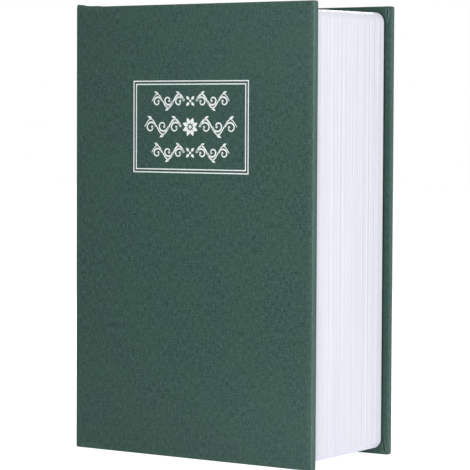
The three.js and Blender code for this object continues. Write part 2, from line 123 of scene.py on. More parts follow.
room_left = 0.28
room_right = 0.48
room_turn = 0.8
world = bpy.data.worlds.new("white_room")
world.use_nodes = True
scene.world = world
room = world.node_tree
room.nodes.clear()
aside = add(room, "SeparateXYZ", {0: add(room, "TexCoord").outputs["Generated"]})
strength = add(
    room, "MapRange",
    {0: aside.outputs[0], 1: -room_turn, 2: room_turn, 3: room_left, 4: room_right},
)
dim = add(room, "Background", {"Color": linear("#ffffff"), "Strength": strength.outputs[0]})
white = add(room, "Background", {"Color": linear("#ffffff"), "Strength": 1})
room_mix = add(room, "MixShader", {0: seen_directly(room), 1: dim.outputs[0], 2: white.outputs[0]})
add(room, "OutputWorld", {0: room_mix.outputs[0]})

# The floor: a matt white sweep that the book stands on. To the camera it glows a little, enough to
# read as white paper, and the book's shadow still falls on it.
floor_size = 6000
floor_glow = 0.55
floor_bounce = 0.2


def mesh_object(name, points, faces, materials=()):
    """An object from points in millimetres."""
    mesh = bpy.data.meshes.new(name)
    mesh.from_pydata([Vector(p) * MM for p in points], [], faces)
    mesh.validate()
    for material in materials:
        mesh.materials.append(material)
    made = bpy.data.objects.new(name, mesh)
    scene.collection.objects.link(made)
    return made


def new_material(name):
    """An empty material with its Principled shader."""
    made = bpy.data.materials.new(name)
    made.use_nodes = True
    return made, made.node_tree, made.node_tree.nodes["Principled BSDF"]


sweep_paper, paper_tree, paper_shader = new_material("matt_sweep_paper")
paper_shader.inputs["Base Color"].default_value = linear("#f4f4f4")
paper_shader.inputs["Roughness"].default_value = 0.9
shine = add(
    paper_tree, "Math",
    {0: seen_directly(paper_tree), 1: floor_glow, 2: floor_bounce},
    operation="MULTIPLY_ADD",
)
glow = add(paper_tree, "Emission", {"Color": linear("#ffffff"), "Strength": shine.outputs[0]})
paper_sum = add(paper_tree, "AddShader", {0: paper_shader.outputs[0], 1: glow.outputs[0]})
paper_tree.links.new(paper_sum.outputs[0], paper_tree.nodes["Material Output"].inputs["Surface"])
reach = floor_size / 2
floor = mesh_object(
    "floor",
    [(-reach, -reach, 0), (reach, -reach, 0), (reach, reach, 0), (-reach, reach, 0)],
    [(0, 1, 2, 3)],
    [sweep_paper],
)


# Book cloth: starched cotton, dyed green and woven with the warp up the book. It gives a matt face
# with short upright streaks where threads thicken. Its edges are paler, partly from rubbing and partly a
# painted highlight; it is painted paler towards the head and tail, most by the fore-edge at the tail,
# where more light falls; and the slits of the corner pleats carry a painted shade.
book_low, book_high = (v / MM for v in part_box("case_cloth"))
height = book_high.z
cloth_thread = 0.8  # the real threads are taken to be 0.45 mm apart, too fine to show here
cloth_streak = (0.6, 2.5)
cloth_slub = (2.1, 0.6)
cloth_patch = 18
streak_share = 0.54
slub_share = 0.46
weave_share = 0.03
cast_share = 0.3
broken_wear_and_highlight = (0.9, 0.35)
# Painted light: the cover is drawn paler towards its head and tail, most by the fore-edge at the tail, where
# more light falls.
painted_light_band = (30, 90)
painted_light_fore = (0.3, 0.9)
painted_light_tail = (0.25, -0.25)
painted_light_share = 0.068


def mottled(tree, value, low, high, dark, pale):
    """A colour that goes from dark to pale as the value goes from low to high."""
    share = add(tree, "MapRange", {0: value, 1: low, 2: high})
    mix = add(tree, "Mix", {0: share.outputs[0], 6: linear(dark), 7: linear(pale)}, data_type="RGBA")
    return mix.outputs[2]


def coat(tree, shader, colour, relief=None):
    """Gives the shader its colour, and a relief of (height, strength, depth in millimetres)."""
    tree.links.new(colour, shader.inputs["Base Color"])
    if relief:
        bump = add(tree, "Bump", {"Height": relief[0], "Strength": relief[1], "Distance": relief[2] * MM})
        tree.links.new(bump.outputs[0], shader.inputs["Normal"])


def book_cloth():
    made, tree, shader = new_material("starched_book_cloth")
    threads = add(tree, "UVMap", uv_map="threads").outputs["UV"]
    across = add(tree, "SeparateXYZ", {0: threads})
    noises, waves = [], []
    for length, width in (cloth_streak, cloth_slub):
        stretched = add(tree, "VectorMath", {0: threads, 1: (1 / length, 1 / width, 0)}, operation="MULTIPLY")
        noise = add(
            tree, "TexNoise",
            {"Vector": stretched.outputs[0], "Scale": 1, "Detail": 2.5, "Roughness": 0.6},
        )
        noises.append(noise.outputs["Fac"])
    for axis in (0, 1):
        wave = add(tree, "Math", {0: across.outputs[axis], 1: math.pi / cloth_thread}, operation="MULTIPLY")
        waves.append(add(tree, "Math", {0: wave.outputs[0]}, operation="SINE").outputs[0])
    weave = add(tree, "Math", {0: waves[0], 1: waves[1]}, operation="MULTIPLY").outputs[0]
    mixed = 0
    for part, share in ((noises[0], streak_share), (noises[1], slub_share), (weave, weave_share)):
        mixed = add(tree, "Math", {0: part, 1: share, 2: mixed}, operation="MULTIPLY_ADD").outputs[0]
    ground = mottled(tree, mixed, 0.365, 0.635, "#25403a", "#47605a")
    patches = add(
        tree, "TexNoise",
        {"Vector": threads, "Scale": 1 / cloth_patch, "Detail": 3, "Roughness": 0.6},
    )
    cast = add(tree, "MapRange", {0: patches.outputs["Fac"], 1: 0.35, 2: 0.65, 3: 0.0, 4: cast_share})
    # Real edge wear plus a painted highlight: edges are mixed towards pale #7f9a92 where light catches them.
    rubbed_and_lit = add(tree, "Attribute", attribute_name="rubbed_and_lit", attribute_type="GEOMETRY")
    broken = add(
        tree, "Math",
        {0: noises[0], 1: broken_wear_and_highlight[0], 2: broken_wear_and_highlight[1]},
        operation="MULTIPLY_ADD",
    )
    worn_and_lit = add(
        tree, "Math",
        {0: rubbed_and_lit.outputs["Fac"], 1: broken.outputs[0]},
        operation="MULTIPLY", use_clamp=True,
    )
    # Painted light: paler towards the ends of the cover, more at the fore-edge and the tail.
    middle = add(tree, "Math", {0: across.outputs[1], 1: height / 2}, operation="SUBTRACT")
    distance = add(tree, "Math", {0: middle.outputs[0]}, operation="ABSOLUTE")
    near_end = add(
        tree, "MapRange",
        {0: distance.outputs[0], 1: painted_light_band[0], 2: painted_light_band[1]},
        interpolation_type="SMOOTHSTEP",
    )
    fore = add(
        tree, "MapRange",
        {0: across.outputs[0], 1: book_low.x, 2: book_high.x, 3: painted_light_fore[0], 4: painted_light_fore[1]},
    )
    tail = add(
        tree, "MapRange",
        {0: across.outputs[1], 1: 0, 2: height, 3: painted_light_tail[0], 4: painted_light_tail[1]},
    )
    painted_light_slope = add(tree, "Math", {0: fore.outputs[0], 1: tail.outputs[0]}, operation="ADD")
    painted_corner_light = add(
        tree, "Math",
        {0: near_end.outputs[0], 1: painted_light_slope.outputs[0]},
        operation="MULTIPLY", use_clamp=True,
    )
    worn_and_lit = add(
        tree, "Math",
        {0: painted_corner_light.outputs[0], 1: painted_light_share, 2: worn_and_lit.outputs[0]},
        operation="MULTIPLY_ADD", use_clamp=True,
    )
    # Painted shade: the pleat slits are mixed towards near-black #0d1714, standing for the shade inside them.
    painted_slit_shade = add(tree, "Attribute", attribute_name="painted_slit_shade", attribute_type="GEOMETRY")
    colour = ground
    for share, shade in (
        (cast.outputs[0], "#3a5a4b"), (worn_and_lit.outputs[0], "#7f9a92"), (painted_slit_shade.outputs["Fac"], "#0d1714"),
    ):
        colour = add(tree, "Mix", {0: share, 6: colour, 7: linear(shade)}, data_type="RGBA").outputs[2]
    threaded = add(tree, "Math", {0: noises[0], 1: 1.2, 2: weave}, operation="MULTIPLY_ADD")
    coat(tree, shader, colour, (threaded.outputs[0], 0.5, 0.05))
    shader.inputs["Roughness"].default_value = 0.82
    shader.inputs["IOR"].default_value = 1.45
    shader.inputs["Specular IOR Level"].default_value = 0.15
    shader.inputs["Sheen Weight"].default_value = 0.03
    shader.inputs["Sheen Roughness"].default_value = 0.5
    return made


cloth = book_cloth()

# The front cover's cloth: glued over the outer face of the board and turned in over its head, tail
# and fore-edge by 15 mm, with the corners folded to a mitre. Its folds are soft, slightly rubbed and
# carry a painted highlight.
cloth_thickness = 0.3
edge_radius = 0.5
corner_radius = 0.8
mitre_radius = 0.12
mitre_depth = 0.2
# How much paler the edges are drawn: real wear plus a painted highlight, most on the fore-edges that face the
# light.
front_edge_wear_and_highlight = 0.37
back_edge_wear_and_highlight = 0.45
head_wear = 0.1
turn_in = 15
face_margin = 2.5
arc_steps = 5
corner_steps = 6
last_bend = 2 * arc_steps + 2
flap_insets = (1.0, 4, 8)
face_crest = 0.3
crest_power = 4
board_gap = 0.1
cover_low, cover_high = (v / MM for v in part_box("front_cover_cloth"))
cover_thickness = cover_high.y - cover_low.y
board_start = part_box("front_board")[0].x / MM - board_gap


def edge_profile(thickness, radius, flap):
    """(inset, depth, run along the cloth) from the outer face round a board's edge and on to the
    turn-in's end."""
    rows = [(radius + face_margin, 0, -face_margin)]
    angles = [math.pi / 2 * i / arc_steps for i in range(arc_steps + 1)]
    for angle in angles:
        rows.append((radius * (1 - math.sin(angle)), radius * (1 - math.cos(angle)), radius * angle))
    run = rows[-1][2] + thickness - 2 * radius
    for angle in angles:
        depth = thickness - radius * (1 - math.sin(angle))
        rows.append((radius * (1 - math.cos(angle)), depth, run + radius * angle))
    run = rows[-1][2]
    rows += [(inset, thickness, run + inset - radius) for inset in (*flap_insets, flap)]
    return rows


def rim_path(low, high, inset, closed):
    """Points and outward directions round a board's face, inset from its edges. An open path leaves
    out the low side of the first axis; corners keep a small radius, on which the mitre lies."""
    radius = max(corner_radius - inset, mitre_radius)
    left, right, bottom, top = low[0] + inset, high[0] - inset, low[1] + inset, high[1] - inset
    corners = [(right - radius, bottom + radius, -90), (right - radius, top - radius, 0)]
    if closed:
        corners += [(left + radius, top - radius, 90), (left + radius, bottom + radius, 180)]
    path = [] if closed else [((low[0], bottom), (0, -1))]
    for x, y, start in corners:
        for i in range(corner_steps + 1):
            angle = math.radians(start + 90 * i / corner_steps)
            out = (math.cos(angle), math.sin(angle))
            path.append(((x + radius * out[0], y + radius * out[1]), out))
    return path if closed else path + [((low[0], top), (0, 1))]


def woven(name, points, faces, threads, rubbed_and_lit):
    """A cloth surface: its thread coordinates and how much paler each point is drawn, for real wear and a
    painted highlight.
    """
    made = mesh_object(name, points, faces, [cloth])
    uv = made.data.uv_layers.new(name="threads")
    for loop in made.data.loops:
        uv.data[loop.index].uv = threads[loop.vertex_index]
    layer = made.data.attributes.new("rubbed_and_lit", "FLOAT", "POINT")
    layer.data.foreach_set("value", rubbed_and_lit)
    made.data.polygons.foreach_set("use_smooth", [True] * len(made.data.polygons))
    return made


def cloth_mesh(name, points, faces, threads, rubbed_and_lit):
    """A sheet of cloth with its thickness."""
    made = woven(name, points, faces, threads, rubbed_and_lit)
    shell = made.modifiers.new("cloth_thickness", "SOLIDIFY")
    shell.thickness = cloth_thickness * MM
    shell.offset = -1
    shell.use_even_offset = True
    made.modifiers.new("flat_faces", "WEIGHTED_NORMAL")
    return made


def wrapped_board(name, low, high, place, thickness, wear_and_highlight, closed=False, open_columns=()):
    """Cloth round a board. place(a, b, depth) gives the point at a, b on the face, a depth below it;
    wear_and_highlight is how much paler the long edges are drawn, real wear plus a painted highlight, and
    open_columns are the sides without a turn-in."""
    profile = edge_profile(thickness, edge_radius, turn_in)
    base = rim_path(low, high, edge_radius, closed)
    points, threads, rubbed_and_lit, faces = [], [], [], []
    count = len(base)
    for row, (inset, depth, run) in enumerate(profile):
        on_flap = row > last_bend
        # Paler over the edge and less towards the inner fold: real wear plus a painted highlight where light
        # catches the rounding.
        crest = 1 - (depth / thickness) ** crest_power if depth > 0 else face_crest
        if row == 0 or on_flap:
            crest = 0
        for column, ((a, b), out) in enumerate(rim_path(low, high, inset, closed)):
            in_corner = (column - (0 if closed else 1)) % (corner_steps + 1)
            is_corner = closed or 0 < column < count - 1
            mitre = on_flap and is_corner and in_corner == corner_steps // 2
            points.append(place(a, b, depth - (mitre_depth if mitre else 0)))
            (a0, b0), _ = base[column]
            threads.append((a, b) if row == 0 else (a0 + out[0] * run, b0 + out[1] * run))
            rubbed_and_lit.append(crest * max(wear_and_highlight * abs(out[0]), head_wear))
    for row in range(len(profile) - 1):
        for column in range(count if closed else count - 1):
            if row >= last_bend and column in open_columns:
                continue
            following = (column + 1) % count
            faces.append((
                row * count + column, row * count + following,
                (row + 1) * count + following, (row + 1) * count + column,
            ))
    faces.append(tuple(reversed(range(count))))
    made = cloth_mesh(name, points, faces, threads, rubbed_and_lit)
    bm = bmesh.new()
    bm.from_mesh(made.data)
    bmesh.ops.recalc_face_normals(bm, faces=bm.faces)
    face = max(bm.faces, key=lambda f: f.calc_area())
    outward = Vector(place(0, 0, 0)) - Vector(place(0, 0, 1))
    if face.normal.dot(outward) < 0:
        bmesh.ops.reverse_faces(bm, faces=bm.faces)
    bm.to_mesh(made.data)
    bm.free()
    return made


front_wrap = wrapped_board(
    "front_cover_wrap",
    (board_start, 0), (book_high.x, height),
    lambda x, z, depth: (x, book_low.y + depth, z),
    cover_thickness,
    front_edge_wear_and_highlight,
)
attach(front_wrap, "front_cover")
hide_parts("front_cover_cloth")

# The case cloth: one sheet that wraps the spine board, spans the back joint and wraps the back board.
# The spine is square, so its board's edges lie level with the covers, and its cloth turns in at the
# head and tail only.
spine_rise = 0.6
spine_flap_columns = range(corner_steps // 2, corner_steps + 1 + corner_steps // 2)
far_flap_columns = [column + 2 * (corner_steps + 1) for column in spine_flap_columns]
spine_wrap = wrapped_board(
    "spine_wrap",
    (book_low.y, 0), (book_high.y, height + spine_rise),
    lambda y, z, depth: (book_low.x + depth, y, z),
    cover_thickness,
    head_wear,
    closed=True,
    open_columns=[*spine_flap_columns, *far_flap_columns],
)
back_wrap = wrapped_board(
    "back_cover_wrap",
    (board_start, 0), (book_high.x, height),
    lambda x, z, depth: (x, book_high.y - depth, z),
    cover_thickness,
    back_edge_wear_and_highlight,
)

# The joints: the bare cloth between the spine's edge and each board. It is pressed in a little, and
# dips at the head because nothing stiff lies under its fold.
joint_groove = 0.1
joint_fold = 0.9
joint_ramp = 2.5
joint_columns = 26
joint_proud = 0.03
joint_tuck = 0.02
joint_rise = 0.25
joint_overlap = 1.2
slack_from = 0.8
slack_length = 0.3
rise_power = 8
fold_share = 0.48
ear_rise = 0.4
ear_reach = 5
spine_edge = book_low.x + cover_thickness


def smooth(value):
    """0 up to 0 and 1 from 1 on, with a soft step between."""
    clipped = min(1, max(0, value))
    return clipped * clipped * (3 - 2 * clipped)


def joint_strip(name, face, inward):
    """The joint at y = face, with the inside of the book in the direction of inward."""
    points, threads, rubbed_and_lit, faces = [], [], [], []
    start, end = book_low.x + edge_radius, board_start + joint_overlap
    for column in range(joint_columns + 1):
        x = start + (end - start) * column / joint_columns
        along = (x - spine_edge) / (board_start - spine_edge)
        share = min(1, max(0, along))
        hollow = math.sin(math.pi * share) ** 2
        stiff = 1 - smooth((x - spine_edge) / joint_ramp) * smooth((board_start - x) / joint_ramp)
        thickness = joint_fold + (cover_thickness - 2 * cloth_thickness - joint_fold) * stiff
        sink = joint_groove * hollow - joint_proud
        slack = joint_rise * (1 - smooth((along - slack_from) / slack_length))
        ear = ear_rise * (1 - smooth((x - book_low.x) / ear_reach))
        rise = (spine_rise + ear - joint_rise) * (1 - share) ** rise_power + slack - joint_tuck
        profile = edge_profile(thickness, min(edge_radius, fold_share * thickness), turn_in)
        radius = profile[1][0]
        tail = [(joint_tuck + inset, depth, radius - run) for inset, depth, run in reversed(profile)]
        head = [(height + rise - inset, depth, height - radius + run) for inset, depth, run in profile]
        section = tail + head
        for z, depth, run in section:
            points.append((x, face + inward * (sink + depth), z))
            threads.append((x, run))
            rubbed_and_lit.append(head_wear if min(z, height - z) < radius + face_margin / 2 else 0)
    rows = len(section)
    for column in range(joint_columns):
        for row in range(rows - 1):
            first = column * rows + row
            quad = (first, first + rows, first + rows + 1, first + 1)
            faces.append(quad if inward > 0 else tuple(reversed(quad)))
    return cloth_mesh(name, points, faces, threads, rubbed_and_lit)


back_joint = joint_strip("back_joint_cloth", book_high.y, -1)
for piece in (spine_wrap, back_wrap, back_joint):
    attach(piece, "case")
    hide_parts("case_cloth")
front_joint = joint_strip("front_joint_cloth", book_low.y, 1)
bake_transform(front_joint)


# The corner pleats: where the turn-ins meet inside each corner at the fore-edge, the spare cloth is
# nipped together with a bone folder. It lies as two raised lips up from the corner, with a slit between
# that carries a painted shade, darker at the tail than at the head.
pleat_start = (1.35, 0.5)
pleat_end = (1.95, 7)
pleat_width = 2.2
pleat_height = 0.65
pleat_slit = 0.54
pleat_floor = 0.03
pleat_sink = 0.1
pleat_steps = 14
pleat_sides = 24
pleat_tip = 0.35
pleat_widening = 3
pleat_roundness = 0.7
pleat_stretch = 1.5
# The pleat lips are drawn paler: wear plus a painted highlight on their crests.
pleat_wear_and_highlight = 0.9
slit_power = 4
slit_shade_from = 0.25
weld_distance = 1e-7  # in metres
# How dark the painted shade in each pleat's slit is drawn, at the tail and at the head.
tail_slit_shade = 0.9
head_slit_shade = 0.5


def mend_mesh(made, welds=False):
    """Turns the faces of a closed mesh outward, after welding doubled points if asked."""
    bm = bmesh.new()
    bm.from_mesh(made.data)
    if welds:
        bmesh.ops.remove_doubles(bm, verts=bm.verts, dist=weld_distance)
    bmesh.ops.recalc_face_normals(bm, faces=bm.faces)
    bm.to_mesh(made.data)
    bm.free()


def corner_pleat(name, face, inward, corner_z, up, slit_shade):
    """The pleat on the inner face at y = face, from the corner at corner_z on in the direction of up."""
    points, threads, rubbed_and_lit, painted_slit_shade, faces = [], [], [], [], []
    run_x, run_z = pleat_end[0] - pleat_start[0], pleat_end[1] - pleat_start[1]
    length = math.hypot(run_x, run_z)
    for step in range(pleat_steps + 1):
        share = step / pleat_steps
        swell = math.sqrt(max(0, 1 - share)) * min(1, pleat_tip + pleat_widening * share)
        for side in range(pleat_sides + 1):
            turn = math.pi * side / pleat_sides
            slit = math.exp(-(math.cos(turn) / pleat_slit) ** slit_power)
            lip = math.sin(turn) ** pleat_roundness * (1 - slit)
            across = pleat_width / 2 * swell * math.cos(turn)
            lift = pleat_height * swell * lip + pleat_floor * slit - pleat_sink * (1 - math.sin(turn))
            inset = pleat_start[0] + run_x * share + across * run_z / length
            rise = pleat_start[1] + run_z * share - across * run_x / length
            points.append((book_high.x - inset, face + inward * lift, corner_z + up * rise))
            threads.append((share * length, across * pleat_stretch))
            rubbed_and_lit.append(pleat_wear_and_highlight * lip)
            painted_slit_shade.append(slit_shade * slit * smooth(share / slit_shade_from))
    count = pleat_sides + 1
    for step in range(pleat_steps):
        for side in range(count):
            a, b = step * count + side, step * count + (side + 1) % count
            faces.append((a, b, b + count, a + count))
    faces += [tuple(range(count)), tuple(pleat_steps * count + side for side in reversed(range(count)))]
    made = woven(name, points, faces, threads, rubbed_and_lit)
    made.data.attributes.new("painted_slit_shade", "FLOAT", "POINT").data.foreach_set("value", painted_slit_shade)
    mend_mesh(made, welds=True)
    return made


back_face = book_high.y - cover_thickness
for cover, face, inward, body in (("front", cover_high.y, 1, "front_cover"), ("back", back_face, -1, "case")):
    for end, corner_z, up, slit_shade in (("tail", 0, 1, tail_slit_shade), ("head", height, -1, head_slit_shade)):
        pleat = corner_pleat(f"{cover}_{end}_pleat", face, inward, corner_z, up, slit_shade)
        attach(pleat, body)


# The foil on the front: a matt white pigment foil, stamped hot through a die. A double rule frames
# three rows of printers' scrollwork, a running vine with leaves and berries on each side of a flower.
foil_inset = 29.35
foil_bottom = 113.3
foil_size = (56.1, 36.6)
rule_width = 0.45
rule_gap = 0.79
foil_rise = 0.03
foil_sink = 0.03
stroke_width = 0.8
stroke_end = 0.02
row_rise = 10.2
foil_grain = 0.5
leaf_steps = 10
dot_steps = 10
stem_steps = 14
curl_steps = 26


def stamping_foil():
    made, tree, shader = new_material("white_pigment_foil")
    place = add(tree, "TexCoord").outputs["Object"]
    grain = add(tree, "TexNoise", {"Vector": place, "Scale": 1 / (foil_grain * MM), "Detail": 2})
    colour = mottled(tree, grain.outputs["Fac"], 0.32, 0.5, "#cfd8d7", "#f2f6f6")
    coat(tree, shader, colour, (grain.outputs["Fac"], 0.3, 0.03))
    shader.inputs["Roughness"].default_value = 0.45
    return made


def ring(inset, width):
    """A mitred rectangular rule as pairs of outer and inner points, the first pair repeated."""
    half = [side / 2 - inset for side in foil_size]
    signs = [(-1, -1), (1, -1), (1, 1), (-1, 1), (-1, -1)]
    return [((a * half[0], b * half[1]), (a * (half[0] - width), b * (half[1] - width))) for a, b in signs]


def stroke(points, widths):
    """A line of changing width as pairs of points on its two sides."""
    pairs = []
    for i, (x, y) in enumerate(points):
        before, after = points[max(0, i - 1)], points[min(len(points) - 1, i + 1)]
        dx, dy = after[0] - before[0], after[1] - before[1]
        length = math.hypot(dx, dy)
        nx, ny = -dy / length * widths[i] / 2, dx / length * widths[i] / 2
        pairs.append(((x + nx, y + ny), (x - nx, y - ny)))
    return pairs


def leaf(x, y, angle, length, width):
    """A pointed leaf that starts at x, y and is widest a little before its middle."""
    shares = [i / leaf_steps for i in range(leaf_steps + 1)]
    points = [(x + math.cos(angle) * length * s, y + math.sin(angle) * length * s) for s in shares]
    return stroke(points, [width * math.sin(math.pi * s ** 0.8) + stroke_end for s in shares])


def dot(x, y, radius):
    """A round berry, as a stroke across it."""
    cosines = [math.cos(math.pi * i / dot_steps) for i in range(dot_steps + 1)]
    points = [(x - radius * c, y) for c in cosines]
    return stroke(points, [2 * radius * math.sqrt(max(0, 1 - c * c)) + stroke_end for c in cosines])


def vine(start, wave, rise, lobes):
    """Half a row: a waving stem, and in each lobe a curl with a berry and a leaf outside it. The
    factors are shares of the wave's length, its rise or the stroke's width."""
    steps = stem_steps * lobes
    xs = [start + wave * lobes * i / steps for i in range(steps + 1)]
    shares = [(x - start) / wave for x in xs]
    stem = [(x, rise * math.sin(math.pi * s)) for x, s in zip(xs, shares)]
    taper = [stroke_width * (1 - 0.6 * i / steps) for i in range(steps + 1)]
    strips = [stroke(stem, taper)]
    for lobe in range(lobes):
        side = 1 if lobe % 2 == 0 else -1
        middle = start + wave * (lobe + 0.5)
        curl = []
        for i in range(curl_steps + 1):
            share = i / curl_steps
            angle = math.pi * (0.95 - 2.1 * share)
            radius = (wave * 0.43) * (1 - 0.72 * share)
            lift = side * (radius * math.sin(angle) * 0.95 - rise * 0.12)
            curl.append((middle + radius * math.cos(angle), lift))
        widths = [stroke_width * (0.9 - 0.35 * i / curl_steps) for i in range(curl_steps + 1)]
        strips.append(stroke(curl, widths))
        strips.append(dot(curl[-1][0], curl[-1][1], stroke_width * 0.62))
        tip = side * math.radians(28)
        strips.append(leaf(middle - wave * 0.1, side * rise * 1.02, tip, wave * 0.42, rise * 0.36))
    return strips


def flower(radius, petals):
    """A round centre with petals about it. The factors are shares of the radius."""
    strips = [dot(0, 0, radius * 0.2)]
    for i in range(petals):
        angle = 2 * math.pi * (i + 0.5) / petals
        strips.append(leaf(
            radius * 0.3 * math.cos(angle), radius * 0.3 * math.sin(angle),
            angle, radius * 0.75, radius * 0.45,
        ))
    return strips


def foil_object(name, strips, material):
    """The strips as thin closed prisms in the outer face of the front cover."""
    centre = (book_low.x + foil_inset + foil_size[0] / 2, foil_bottom + foil_size[1] / 2)
    points, faces = [], []
    for strip in strips:
        first = len(points)
        for outer, inner in strip:
            for y in (book_low.y - foil_rise, book_low.y + foil_sink):
                points.append((centre[0] + outer[0], y, centre[1] + outer[1]))
                points.append((centre[0] + inner[0], y, centre[1] + inner[1]))
        last = first + 4 * (len(strip) - 1)
        for i in range(len(strip) - 1):
            a, b = first + 4 * i, first + 4 * (i + 1)
            faces += [
                (a, b, b + 1, a + 1), (a + 2, a + 3, b + 3, b + 2),
                (a, a + 2, b + 2, b), (a + 1, b + 1, b + 3, a + 3),
            ]
        if strip[0] != strip[-1]:
            faces += [(first, first + 1, first + 3, first + 2), (last, last + 2, last + 3, last + 1)]
    made = mesh_object(name, points, faces, [material])
    mend_mesh(made, welds=True)
    return made


def mirrored(strips):
    """The strips on the other side of the middle."""
    return [[((-b[0], b[1]), (-a[0], a[1])) for a, b in strip] for strip in strips]


def moved(strips, rise):
    """The strips higher up by rise."""
    return [[((a[0], a[1] + rise), (b[0], b[1] + rise)) for a, b in strip] for strip in strips]


foil = stamping_foil()
rules = [ring(0, rule_width), ring(rule_width + rule_gap, rule_width)]
top_half = vine(start=2.9, wave=5.3, rise=2.7, lobes=3)
middle_half = vine(start=4.4, wave=6.0, rise=3.0, lobes=3)
top_row = top_half + mirrored(top_half) + flower(radius=2.6, petals=4)
middle_row = middle_half + mirrored(middle_half) + flower(radius=3.7, petals=8)
ornament = moved(top_row, row_rise) + middle_row + moved(top_row, -row_rise)
for piece in (foil_object("cover_rules", rules, foil), foil_object("cover_scrollwork", ornament, foil)):
    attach(piece, "front_cover")


# The boards: grey millboard, pressed from waste paper, cut square and hidden in the cloth except for
# the edge at the joint. A coarse grey fibre shows on its faces and its cut edges.
board_fibre = 0.9
board_fleck = 3.5
weld_gap = 0.002
edge_turn = 32


def grey_millboard():
    made, tree, shader = new_material("grey_millboard")
    place = add(tree, "TexCoord").outputs["Object"]
    fibre = add(
        tree, "TexNoise",
        {"Vector": place, "Scale": 1 / (board_fibre * MM), "Detail": 5, "Roughness": 0.7},
    )
    fleck = add(tree, "TexNoise", {"Vector": place, "Scale": 1 / (board_fleck * MM), "Detail": 3})
    mixed = add(tree, "Math", {0: fibre.outputs["Fac"], 1: fleck.outputs["Fac"]}, operation="MULTIPLY")
    colour = mottled(tree, mixed.outputs[0], 0.16, 0.36, "#6f6a61", "#a39d91")
    coat(tree, shader, colour, (fibre.outputs["Fac"], 0.6, 0.08))
    shader.inputs["Roughness"].default_value = 0.92
    return made


def dress(names, material, edge, steps=2):
    """Welds a CAD node's facets, rounds its sharp edges and gives it a material."""
    for name in names:
        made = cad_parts[name]
        made.data.materials.clear()
        made.data.materials.append(material)
        made.data.polygons.foreach_set("use_smooth", [True] * len(made.data.polygons))
        weld = made.modifiers.new("weld", "WELD")
        weld.merge_threshold = weld_gap * MM
        rounding = made.modifiers.new("edge", "BEVEL")
        rounding.width = edge * MM
        rounding.segments = steps
        rounding.limit_method = "ANGLE"
        rounding.angle_limit = math.radians(edge_turn)
        rounding.use_clamp_overlap = True
        made.modifiers.new("flat_faces", "WEIGHTED_NORMAL")


dress(["front_board", "back_board", "spine_board"], grey_millboard(), edge=0.1)


# The endpapers: plain off-white book paper, pasted over the turned-in cloth inside each cover. Its
# long fibres show as a faint cloudy grain, with a slightly cockled surface from the paste.
paper_cloud = 6
paper_fibre = (0.6, 0.6, 3)


def endpaper():
    made, tree, shader = new_material("offset_endpaper")
    place = add(tree, "TexCoord").outputs["Object"]
    cloud = add(
        tree, "TexNoise",
        {"Vector": place, "Scale": 1 / (paper_cloud * MM), "Detail": 5, "Roughness": 0.65},
    )
    scales = [1 / (length * MM) for length in paper_fibre]
    stretched = add(tree, "VectorMath", {0: place, 1: scales}, operation="MULTIPLY")
    fibre = add(tree, "TexNoise", {"Vector": stretched.outputs[0], "Scale": 1, "Detail": 3})
    mixed = add(tree, "Math", {0: cloud.outputs["Fac"], 1: fibre.outputs["Fac"]}, operation="ADD")
    colour = mottled(tree, mixed.outputs[0], 0.75, 1.25, "#e6e2d6", "#f5f2e9")
    coat(tree, shader, colour, (mixed.outputs[0], 0.35, 0.1))
    shader.inputs["Roughness"].default_value = 0.85
    return made


dress(["front_endpaper", "back_endpaper"], endpaper(), edge=0.05)

# The page block: a sleeve moulded in white ABS, open at the back and with a rim round its mouth. Its
# sides carry the mould's fine uneven ridges, which stand for the edges of the pages and run round it.
# It is glued in slightly crooked, so that its front sits low.
block_low, block_high = (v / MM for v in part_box("page_block"))
block_corner = 4.2
block_edge = 0.6
block_back_edge = 0.15
foot_height = 0.9
foot_inset = 1.7
block_wall = 2.0
block_rim = 5.5
block_sag = 0.5
rim_thickness = 2.0
page_bundle = (0.55, 1.5)
page_step = 0.12
page_groove = 0.07
page_margin = 0.3
page_seed = 11
groove_width = 0.4
groove_least = 0.3
calm_corner = 0.7
rim_bevel = 0.3
least_corner = 0.3
side_slack = 0.01
block_crease = 38
block_steps = 8
page_shade = (90, 0.8, 90)
mould_grain = 0.35


def moulded_abs():
    made, tree, shader = new_material("white_moulded_abs")
    place = add(tree, "TexCoord").outputs["Object"]
    scales = [1 / (length * MM) for length in page_shade]
    leaves = add(tree, "VectorMath", {0: place, 1: scales}, operation="MULTIPLY")
    sheets = add(tree, "TexNoise", {"Vector": leaves.outputs[0], "Scale": 1, "Detail": 3, "Roughness": 0.7})
    colour = mottled(tree, sheets.outputs["Fac"], 0.35, 0.65, "#e7e9f4", "#f1f2fb")
    grain = add(tree, "TexNoise", {"Vector": place, "Scale": 1 / (mould_grain * MM), "Detail": 2})
    coat(tree, shader, colour, (grain.outputs["Fac"], 0.15, 0.02))
    shader.inputs["Roughness"].default_value = 0.5
    shader.inputs["IOR"].default_value = 1.53
    shader.inputs["Specular IOR Level"].default_value = 0.35
    return made


def block_ring(inset, y, calm):
    """One turn round the block at y, inset from its sides by less at the corners."""
    points = []
    corners = [(1, -1, -90), (1, 1, 0), (-1, 1, 90), (-1, -1, 180)]
    for side_x, side_z, start in corners:
        radius = max(block_corner - inset, least_corner)
        x = (block_high.x - inset - radius) if side_x > 0 else (block_low.x + inset + radius)
        z = (block_high.z - inset - radius) if side_z > 0 else (block_low.z + inset + radius)
        if inset < block_wall:
            z -= block_sag * (block_high.y - y) / (block_high.y - block_low.y)
        for i in range(block_steps + 1):
            angle = math.radians(start + 90 * i / block_steps)
            lift = calm * math.sin(math.pi * i / block_steps) ** 0.5
            points.append((x + (radius + lift) * math.cos(angle), y, z + (radius + lift) * math.sin(angle)))
    return points


